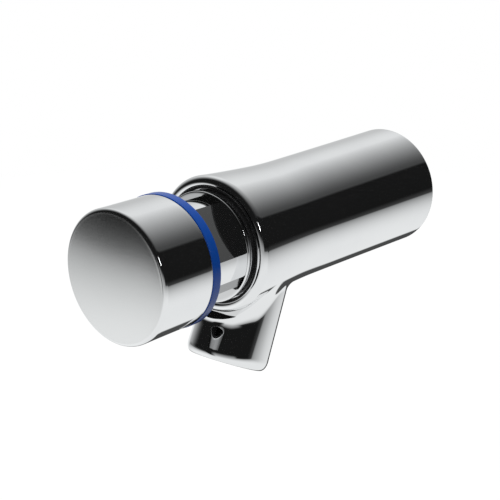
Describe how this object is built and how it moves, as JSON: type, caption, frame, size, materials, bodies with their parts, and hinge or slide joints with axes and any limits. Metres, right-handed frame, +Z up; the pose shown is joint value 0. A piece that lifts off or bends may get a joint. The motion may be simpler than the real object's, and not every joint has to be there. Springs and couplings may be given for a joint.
{
  "type": "push timed tap",
  "caption": "Wall-mounted self-closing tap: waisted chrome body, forward-leaning spout with aerator, flatted bonnet and sprung push button with a blue ring.",
  "frame": {"origin": "centre of the inlet thread's mouth, in the plane of the face that meets the wall", "axes": "+Y into the wall along the inlet, -Y out to the push button, +Z up, the spout hangs down and leans to -Y"},
  "size_m": [0.0452, 0.1442, 0.0704],
  "materials": {
    "chrome": "bright chrome plate on brass, satin on the button's face",
    "brass": "machined",
    "steel": "plain stainless",
    "rubber": "moulded",
    "white_plastic": "moulded",
    "blue_plastic": "moulded, glossy",
    "ruby": "polished stone"
  },
  "bodies": {
    "tap": {"body": "chrome", "inlet_washer": "rubber", "filter_rim": "white_plastic", "filter_thimble": "steel", "timing_cup": "brass", "ruby_jet": "ruby", "timing_spring": "steel", "seat_ring": "brass", "seat_oring": "rubber", "spacer_cage": "white_plastic", "guide_bush": "white_plastic", "stem_seal": "rubber", "gland_washer": "brass", "gland_circlip": "steel", "bonnet": "chrome", "bonnet_gasket": "rubber", "button_spring": "steel", "aerator_gasket": "rubber", "flow_regulator": "white_plastic", "aerator_core": "white_plastic", "aerator_mesh": "steel", "aerator_housing": "chrome"},
    "plunger": {"stem": "steel", "stop_ring": "steel", "piston": "white_plastic", "piston_seal": "rubber", "valve_washer": "rubber", "washer_plate": "brass", "cleaning_needle": "steel"},
    "button": {"push_button": "chrome", "indicator_ring": "blue_plastic", "button_clip": "steel"}
  },
  "joints": [
    {"name": "button_push", "type": "slide", "parent": "tap", "child": "plunger", "axis": [0, 1, 0], "range_m": [0, 0.009], "stiffness_N_per_m": 500, "springref_m": -0.03, "deforming": ["timing_spring", "button_spring"]},
    {"name": "button_spin", "type": "hinge", "parent": "plunger", "child": "button", "pos_m": [0, -0.1335, 0], "axis": [0, -1, 0], "continuous": true}
  ]
}
